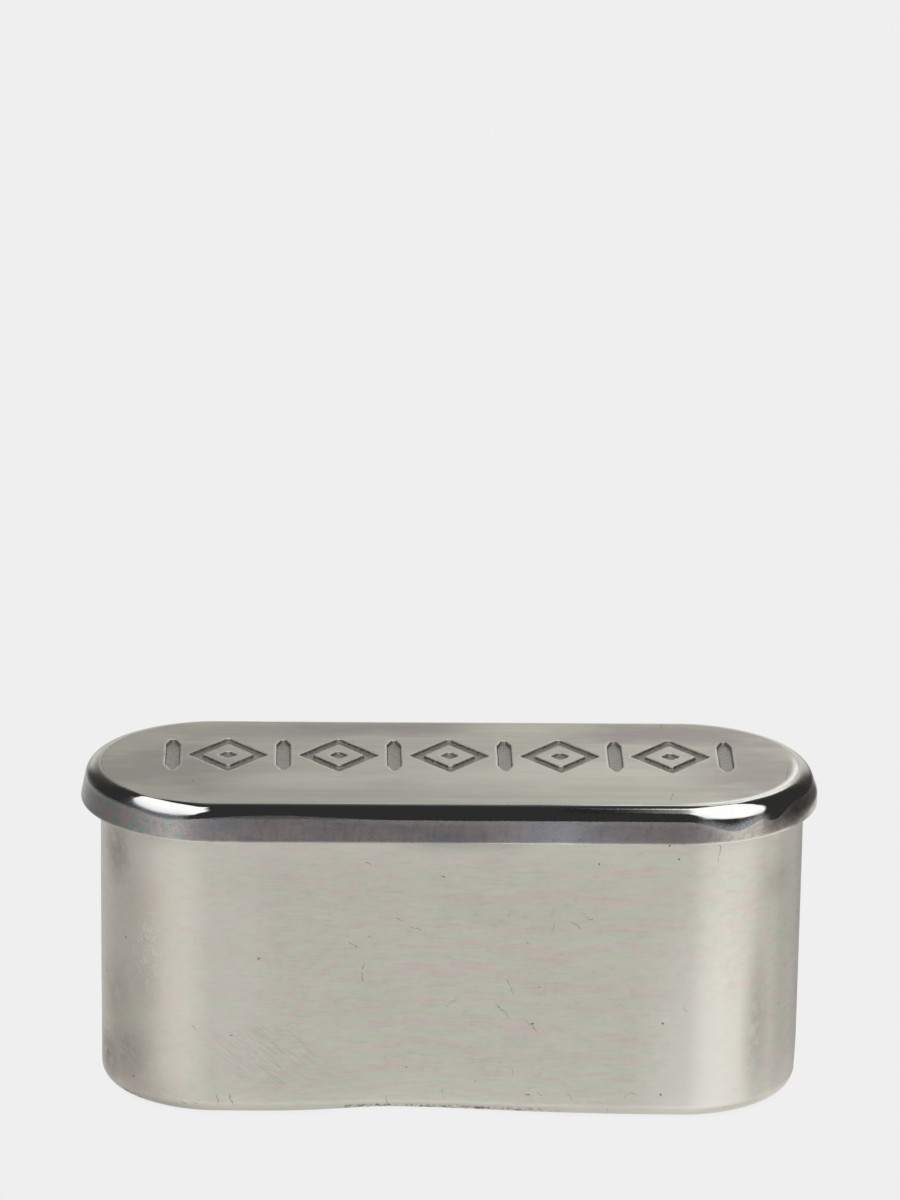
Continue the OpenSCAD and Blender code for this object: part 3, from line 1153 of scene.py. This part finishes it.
# How light the tarnished skirt is along the front, tarnish together with painted reflection: a place in
# millimetres and a tone
SKIRT_TARNISH_AND_REFLECTION = (
    (-47.5, 0.34), (-46, 0.40), (-44, 0.56), (-40.5, 0.90), (-38, 0.92), (-35, 1.18), (-31, 0.95),
    (-25, 0.74), (-20, 0.74), (-15, 0.68), (3, 0.70), (6.5, 0.90), (10.5, 1.15), (14.5, 1.33),
    (18.5, 0.94), (22, 0.82), (27, 0.70), (33, 0.72), (37, 0.90), (39, 0.88), (40.5, 0.56),
    (44, 0.37), (45.5, 0.50), (46.5, 0.70), (47.5, 0.75),
)

# Where the mirror fades out early at its foot, along the front: start, full, fading and end
LEFT_GLINT = (-44, -41, -35, -32)
RIGHT_GLINT = (29, 33, 39, 42)
# Tone of the painted shade on the satin towards the ends of the rim
SATIN_PAINTED_SHADE = (0.42, 0.40, 0.36)


def mirror_share(look, above, below, glint):
    """How much of the bead is a mirror, from 0 to 1."""
    at_ends = look.smooth(look.math("ABSOLUTE", look.xyz[0]), 37.5, 42.5)
    starts = look.between(at_ends, look.smooth(above, -0.14, 0.14), look.smooth(above, -1.4, 1.6))
    ends = look.between(glint, look.smooth(below, -0.08, 0.08), look.smooth(below, -0.08, 1.6))
    return look.times(starts, ends)


def skirt_colour(look):
    """The tarnished skirt: cool and warm clouds, mottled at both ends, toned along the front with painted
    reflection, with a painted highlight along its foot on the right.
    """
    x, _, z = look.xyz
    tint = look.smooth(look.noise((0.10, 0.10, 0.35), 3, 0.6), 0.38, 0.60)
    colour = look.mix(tint, (0.64, 0.64, 0.688), (0.84, 0.74, 0.722))
    rubbed = look.noise((1.6, 1.6, 0.4), 3, 0.6)
    colour = look.wash(colour, (0.51, 0.455, 0.53), rubbed, 0.45, 0.72, 0.4)
    mottle = look.smooth(look.noise((0.9, 0.9, 1.5), 3, 0.65), 0.42, 0.58)
    left_end = look.mix(mottle, (0.60, 0.73, 0.63), (0.85, 0.685, 0.71))
    right_end = look.mix(mottle, (0.80, 0.73, 0.65), (0.98, 0.90, 0.82))
    colour = look.wash(colour, left_end, x, -32, -37)
    colour = look.wash(colour, right_end, x, 31.5, 36)
    # Painted reflection: the skirt's tone along the front
    colour = look.mix(1, colour, look.along(x, SKIRT_TARNISH_AND_REFLECTION), "MULTIPLY")
    # Painted highlight along the skirt's foot on the right
    painted_skirt_highlight = look.smooth(z, LID_FOOT / MM + 0.45, LID_FOOT / MM + 0.2, 0, 0.75)
    painted_skirt_highlight = look.times(painted_skirt_highlight, look.stretch(x, 29, 34, 42, 45))
    return look.mix(painted_skirt_highlight, colour, (0.95, 0.92, 0.85))


def rim_satin(look, below, glint):
    """The rim where it isn't a mirror: satin above with painted shade towards its ends and a painted
    reflection under the highlights, the skirt below, light along their border.
    """
    x, _, _ = look.xyz
    # Painted shade on the satin towards the left end and at the right end
    colour = look.wash((0.80, 0.775, 0.70), SATIN_PAINTED_SHADE, x, -10, -32, 0.3)
    colour = look.wash(colour, SATIN_PAINTED_SHADE, x, 43, 45.5, 0.4)
    # Painted blue-grey reflection under the highlights, where the mirror fades at its foot
    colour = look.mix(look.times(glint, look.smooth(below, 1.9, 1.5)), colour, (0.38, 0.395, 0.43))
    on_skirt = look.smooth(below, 0.15, -0.15)
    colour = look.mix(on_skirt, colour, skirt_colour(look))
    crisp = look.smooth(look.apart(below, -0.12), 0.16, 0, 0, 0.6)
    soft = look.times(look.smooth(below, -0.9, -0.1, 0, 0.5), on_skirt)
    line = look.times(look.largest(crisp, soft), look.smooth(x, 40, 36))
    return look.mix(line, colour, (0.78, 0.74, 0.70))


def polished_rim():
    """Mirror polish round the front of the bead; the rest is satin, and the skirt is tarnished."""
    look = Finish("polished_rim")
    x, _, _ = look.xyz
    wander = look.times(look.minus(look.noise((0.25, 0.25, 0.25), 3, 0.6), 0.5), 0.4)
    above = look.plus(look.attribute("below_top_border"), wander)
    below = look.plus(look.attribute("above_low_border"), look.times(wander, 0.4))
    glint = look.largest(look.stretch(x, *LEFT_GLINT), look.stretch(x, *RIGHT_GLINT))
    mirror = mirror_share(look, above, below, glint)
    colour = look.mix(mirror, rim_satin(look, below, glint), (0.72, 0.715, 0.70))
    fleck = look.times(pits(look, 0.6, 0.09, 0.18), 0.5)
    colour = look.mix(fleck, colour, (0.25, 0.24, 0.22))
    hair = look.noise((2.5, 2.5, 6), 4, 0.7)
    polished = look.smooth(hair, 0.45, 0.8, 0.035, 0.12)
    rough = look.smooth(hair, 0.3, 0.75, 0.27, 0.36)
    roughness = look.between(mirror, rough, polished)
    return look.metal(colour, roughness, look.bump(hair, 0.003 * MM, 0.5), "surface", 0.75)


# Cloudy darker and lighter patches of the plate, tarnish together with painted shade and painted reflection:
# middle, radii and strength
PLATE_SHADES = (
    ((-36.5, -2, 43), (20, 12, 9), 0.75),
    ((-8, 13.2, 43), (18, 4.6, 9), 0.95),
    ((29, 11.5, 43), (23, 6, 9), 0.95),
    ((-14, -11.5, 43), (32, 3.4, 9), 0.20),
    ((-26, 12, 43), (20, 5, 9), 0.45),
    ((38.5, -3, 43), (14, 13, 9), 0.80),
)
PLATE_LIGHTS = (
    ((12, -3, 43), (30, 9, 9), 0.70),
    ((11, 13, 43), (13, 4, 9), 0.50),
    ((-19, -6.5, 43), (14, 5, 9), 0.60),
)

# Marks on the plate, in millimetres along and across, like those of the pot
PLATE_STROKES = ((28.3, -10.6, 27.8, -13.2), (27.8, 13.6, 27.9, 15.2), (43.6, -1, 43, -5.6))
PLATE_DOTS = ((-33, -7, 0.22), (-34, 8, 0.16), (27.2, -1.6, 0.2))


def plate_metal(look, ragged, streak):
    """The plate's colour: bands, cloudy patches of tarnish with painted shade and painted reflection, and
    fine streaks.
    """
    band = look.smooth(look.noise((0.035, 0.8, 0.1), 3, 0.6), 0.4, 0.62)
    colour = look.mix(band, (0.76, 0.745, 0.64), (0.72, 0.685, 0.59))
    for table, tone in ((PLATE_SHADES, (0.50, 0.455, 0.42)), (PLATE_LIGHTS, (0.90, 0.885, 0.77))):
        for share in look.patches(table, ragged, 0.7):
            colour = look.mix(share, colour, tone)
    colour = look.wash(colour, (0.56, 0.53, 0.47), streak, 0.50, 0.78, 0.45)
    return look.wash(colour, (0.93, 0.92, 0.84), streak, 0.45, 0.25, 0.4)


def rubbed_edge_and_highlight(look):
    """A ring along the right of the plate's edge, rubbed smooth and with a painted highlight, from 0 to 1.
    """
    x, y, _ = look.xyz
    beyond = look.largest(look.minus(look.math("ABSOLUTE", x), END_X / MM), 0)
    radius = look.math("SQRT", look.math("MULTIPLY_ADD", beyond, beyond, look.times(y, y)))
    ring = look.smooth(radius, PLATE_R / MM - 1, PLATE_R / MM - 0.3)
    return look.times(ring, look.smooth(x, 27, 34), look.smooth(y, 6, -2))


def satin_plate():
    """Satin metal brushed along the lid, cloudy with old tarnish and painted reflection, lighter round its
    edge, with a painted highlight along the right of it.
    """
    look = Finish("satin_plate")
    x, y, _ = look.xyz
    ragged = look.noise((0.10, 0.22, 0.2), 3, 0.6)
    streak = look.noise((0.16, 5, 0.1), 5, 0.72)
    ring = rubbed_edge_and_highlight(look)
    # Painted highlight along the right of the plate's edge
    colour = look.mix(ring, plate_metal(look, ragged, streak), (0.97, 0.96, 0.90))
    halo = look.times(look.attribute("rubbed"), look.smooth(ragged, 0.35, 0.6, 0.25, 0.7))
    colour = look.mix(halo, colour, (0.93, 0.91, 0.84))
    flat = look.node("ShaderNodeCombineXYZ", {0: x, 2: y}).outputs[0]
    drawn = drawn_marks(look, flat, PLATE_STROKES, PLATE_DOTS, ragged)
    scratch = look.times(scratches(look, 0.16, 1.2, 0.08, 0.22), 0.6)
    marks = look.largest(pits(look, 0.45, 0.14, 0.35), scratch, drawn)
    colour = look.mix(look.times(marks, 0.7), colour, (0.20, 0.185, 0.17))
    roughness = look.minus(look.smooth(streak, 0.2, 0.8, 0.30, 0.40), look.times(ring, 0.15))
    height = look.minus(look.times(streak, 0.3), marks)
    return look.metal(colour, roughness, look.bump(height, 0.015 * MM, 0.5), "Y", 0.7)


def grainy(look, grain, low, tones, smoothest, bump):
    """Dull metal whose tone, roughness and relief follow its grain."""
    colour = look.mix(look.smooth(grain, low, 1 - low), *tones)
    roughness = look.smooth(grain, 0.2, 0.8, smoothest, 0.55)
    return look.metal(colour, roughness, look.bump(grain, *bump))


def sunk_floor():
    """The floor of the ornament: grainy, duller and a little darker than the plate."""
    look = Finish("sunk_floor")
    grain = look.noise((2.6, 2.6, 2.6), 4, 0.65)
    return grainy(look, grain, 0.35, ((0.44, 0.42, 0.38), (0.60, 0.58, 0.53)), 0.42, (0.03 * MM, 0.7))


def cut_wall():
    """The walls of the ornament, dark with dirt and old polish."""
    look = Finish("cut_wall")
    grain = look.noise((1.8, 1.8, 3), 4, 0.65)
    return grainy(look, grain, 0.35, ((0.20, 0.185, 0.165), (0.42, 0.40, 0.36)), 0.38, (0.03 * MM, 0.7))


def dull_solder():
    """Soft solder, dull and slightly rough."""
    look = Finish("solder")
    grain = look.noise((1.6, 1.6, 1.6), 4, 0.6)
    return grainy(look, grain, 0.3, ((0.42, 0.42, 0.41), (0.55, 0.55, 0.53)), 0.38, (0.05 * MM, 0.6))


def dress(obj, body, node, slot, *materials):
    """Gives a piece its finishes, ties it to its body, and hides the node that it stands for."""
    for material in materials:
        obj.data.materials.append(material)
    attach(obj, body)
    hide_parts(node)


def settle(obj):
    """Turns and shifts a piece of the pot as it stands under its lid."""
    obj.data.transform(Matrix.Translation((POT_SHIFT, 0, 0)) @ Matrix.Rotation(POT_TURN, 4, "Z"))
    return obj


def make_object():
    wall, solder = satin_wall(), dull_solder()
    dress(settle(make_pot_wall()), "pot", "pot_wall", "satin_pot", wall)
    dress(settle(make_pot_base()), "pot", "pot_base", "satin_pot", wall)
    dress(settle(make_base_solder()), "pot", "base_solder", "solder", solder)
    dress(make_lid_rim(), "lid", "lid_rim", "polished_rim", polished_rim())
    # in the order of LAND, FLOOR and CUT_WALL
    plate_finishes = [satin_plate(), sunk_floor(), cut_wall()]
    dress(make_lid_plate(), "lid", "lid_plate", "satin_plate", *plate_finishes)
    dress(make_lid_solder(), "lid", "lid_solder", "solder", solder)


# Studio. Directions are azimuth from the front, positive to the right, and elevation, in degrees.
FLOOR_RADIUS = 4
FLOOR_CORNERS = 96
FLOOR_TONE = 0.863
SHADE_TONE = 0.83
SHADE_REACH = 0.0006
PALE = (FLOOR_TONE, FLOOR_TONE, FLOOR_TONE)
PANEL_DISTANCE = 1
# Each softbox: its columns from the middle outwards, each from top to foot, and its tone
LEFT_COLUMNS = (
    ((-150, 82), (-11, 66)), ((-134, 78), (-22, 28)), ((-155, 62), (-36, 11)), ((-154, 55), (-53, 12)),
    ((-148, 53), (-73, 23)),
)
RIGHT_COLUMNS = (
    ((165, 78), (8, 66)), ((161, 66), (20, 19)), ((155, 60), (35, 7)), ((146, 57), (48, 1)),
    ((113, 56), (70, 3)),
)
BACK_COLUMNS = ((177, 36), (177, 23)), ((160, 36), (160, 23))
LEFT_TONE, RIGHT_TONE, BACK_TONE = 1.37, 1.38, 1.2
# How a softbox fades at its foot, and at its first and last column, as shares of its size
PANEL_FOOT = (0, 0.18)
PANEL_SIDES = (0, 0.08, 0.96, 1)
DARK_TONE = 0.035

# Tones that reflections see: of the table by azimuth, and of the backdrop by elevation, in degrees
TABLE_TONES = (
    (-180, 0.95), (-154, 0.86), (-136, 0.78), (-118, 0.72), (-90, 0.76), (-69, 0.84), (-51, 1),
    (-36, 1.06), (-18, 1.08), (0, 1.05), (10, 1.12), (21, 1.19), (36, 1.11), (51, 0.98), (69, 0.92),
    (90, 0.95), (98, 1.03), (115, 1.14), (136, 1.24), (154, 1.20), (180, 0.95),
)
BACKDROP_TONES = ((0, 0.85), (12, 0.85), (22, 0.80), (30, 0.42), (38, 0.12), (60, 0))
# The table ends below the horizon and is darker close by, by the height of the direction
TABLE_EDGE = (-0.05, -0.27)
TABLE_NEAR = (-0.55, -0.92, 1, 0.76)
# On the right it ends lower down, but not straight behind: by azimuth, and how much
TABLE_DROP = (math.radians(88), math.radians(108), 0, 0.15)
TABLE_DROP_END = (3, 2.7)
# The backdrop's window, by azimuth near the table, and by the direction's x higher up
WINDOW_LOW = (math.radians(151), math.radians(161))
WINDOW_HIGH = (-0.08, -0.02, 0.20, 0.34)
WINDOW_RISE = (0.14, 0.41)
# The backdrop stands behind only, and ends at the table: by the direction's y, and by its height
BACKDROP_BACK = (0, 0.2)
BACKDROP_FOOT = (-0.12, 0.02)


def make_floor():
    """A plain pale floor that glows evenly, with a faint shade close to the object."""
    look = Finish("pale_floor")
    inputs = {"Distance": SHADE_REACH, "Color": (1, 1, 1)}
    shade = look.node("ShaderNodeAmbientOcclusion", inputs, samples=8).outputs["AO"]
    tone = look.smooth(shade, 0, 1, SHADE_TONE, FLOOR_TONE)
    look.finish(look.node("ShaderNodeEmission", {"Color": tone, "Strength": 1}))
    verts = []
    for i in range(FLOOR_CORNERS):
        angle = 2 * math.pi * i / FLOOR_CORNERS
        verts.append((FLOOR_RADIUS * math.cos(angle), FLOOR_RADIUS * math.sin(angle), 0))
    floor = mesh_object("floor", verts, [list(range(FLOOR_CORNERS))])
    floor.data.materials.append(look.material)
    floor.visible_glossy = False


def direction_of(azimuth, elevation):
    azimuth, elevation = math.radians(azimuth), math.radians(elevation)
    level = math.cos(elevation)
    return Vector((math.sin(azimuth) * level, -math.cos(azimuth) * level, math.sin(elevation)))


def make_panel(name, columns, tone):
    """A large soft light: glowing panes between columns of directions, fainter towards the edges."""
    look = Finish(name)
    across, up, _ = look.parts(look.surface)
    strength = look.times(look.smooth(up, *PANEL_FOOT), look.stretch(across, *PANEL_SIDES), tone)
    look.finish(look.node("ShaderNodeEmission", {"Strength": strength}))
    verts, faces, uvs = [], [], []
    for column in columns:
        verts += [direction_of(*corner) * PANEL_DISTANCE + Vector((0, 0, LID_TOP)) for corner in column]
    last = len(columns) - 1
    for i in range(last):
        faces.append((2 * i, 2 * i + 1, 2 * i + 3, 2 * i + 2))
        uvs += [(i / last, 1), (i / last, 0), ((i + 1) / last, 0), ((i + 1) / last, 1)]
    panel = mesh_object(name, verts, faces, uvs)
    panel.data.materials.append(look.material)
    panel.visible_camera = False


def table_tone(look, azimuth, up):
    """The pale table that reflections see."""
    dropped = look.times(look.smooth(azimuth, *TABLE_DROP), look.smooth(azimuth, *TABLE_DROP_END))
    below_edge = look.smooth(look.plus(up, dropped), *TABLE_EDGE)
    tone = look.along(look.times(azimuth, 180 / math.pi), TABLE_TONES)
    return look.times(tone, below_edge, look.smooth(up, *TABLE_NEAR))


def backdrop_tone(look, azimuth, right, back, up):
    """The pale backdrop that reflections see, with a window in it."""
    low = look.smooth(look.math("ABSOLUTE", azimuth), *WINDOW_LOW)
    high = look.stretch(right, *WINDOW_HIGH)
    window = look.between(look.smooth(up, *WINDOW_RISE), low, high)
    stops = [(math.sin(math.radians(degrees)), tone) for degrees, tone in BACKDROP_TONES]
    ends = look.times(look.smooth(back, *BACKDROP_BACK), look.smooth(up, *BACKDROP_FOOT))
    return look.times(look.along(up, stops), window, ends)


def make_world():
    """Pale where the camera sees it. Reflections see a dark room, a pale backdrop and a pale table."""
    world = bpy.data.worlds.new("studio")
    bpy.context.scene.world = world
    look = Nodes(world, "ShaderNodeOutputWorld")
    direction = look.node("ShaderNodeTexCoord").outputs["Generated"]
    right, back, up = look.parts(direction)
    azimuth = look.math("ARCTAN2", right, look.times(back, -1))
    backdrop = backdrop_tone(look, azimuth, right, back, up)
    tone = look.plus(backdrop, table_tone(look, azimuth, up), DARK_TONE)
    studio = look.node("ShaderNodeBackground", {"Color": tone, "Strength": 1})
    pale = look.node("ShaderNodeBackground", {"Color": PALE, "Strength": 1})
    seen = look.node("ShaderNodeLightPath").outputs["Is Camera Ray"]
    look.finish(look.node("ShaderNodeMixShader", {0: seen, 1: studio.outputs[0], 2: pale.outputs[0]}))


def make_camera():
    """The photograph's view: looks at the object's middle, then tilts so that it sits low in the frame."""
    middle = Vector((0, 0, LID_TOP / 2))
    back = direction_of(CAMERA_AZIMUTH, CAMERA_ELEVATION)
    tilt = math.atan((MIDDLE_PX[1] - FRAME_HEIGHT / 2) / FOCAL_PX)
    pan = math.atan((MIDDLE_PX[0] - FRAME_WIDTH / 2) / FOCAL_PX)
    data = bpy.data.cameras.new("camera")
    data.sensor_fit = "AUTO"
    data.sensor_width = SENSOR
    data.lens = SENSOR * FOCAL_PX / FRAME_HEIGHT
    data.clip_start = 0.01
    data.clip_end = 20
    camera = bpy.data.objects.new("camera", data)
    facing = (-back).to_track_quat("-Z", "Y").to_matrix().to_4x4()
    turn = Matrix.Rotation(math.radians(CAMERA_ROLL), 4, "Z")
    turn = turn @ Matrix.Rotation(tilt, 4, "X") @ Matrix.Rotation(pan, 4, "Y")
    camera.matrix_world = Matrix.Translation(middle + back * CAMERA_DISTANCE) @ facing @ turn
    bpy.context.scene.collection.objects.link(camera)
    bpy.context.scene.camera = camera


def make_studio():
    make_floor()
    make_panel("softbox_left", LEFT_COLUMNS, LEFT_TONE)
    make_panel("softbox_right", RIGHT_COLUMNS, RIGHT_TONE)
    make_panel("softbox_back", BACK_COLUMNS, BACK_TONE)
    make_world()
    make_camera()
    bpy.context.scene.view_settings.view_transform = "Standard"


make_object()
make_studio()
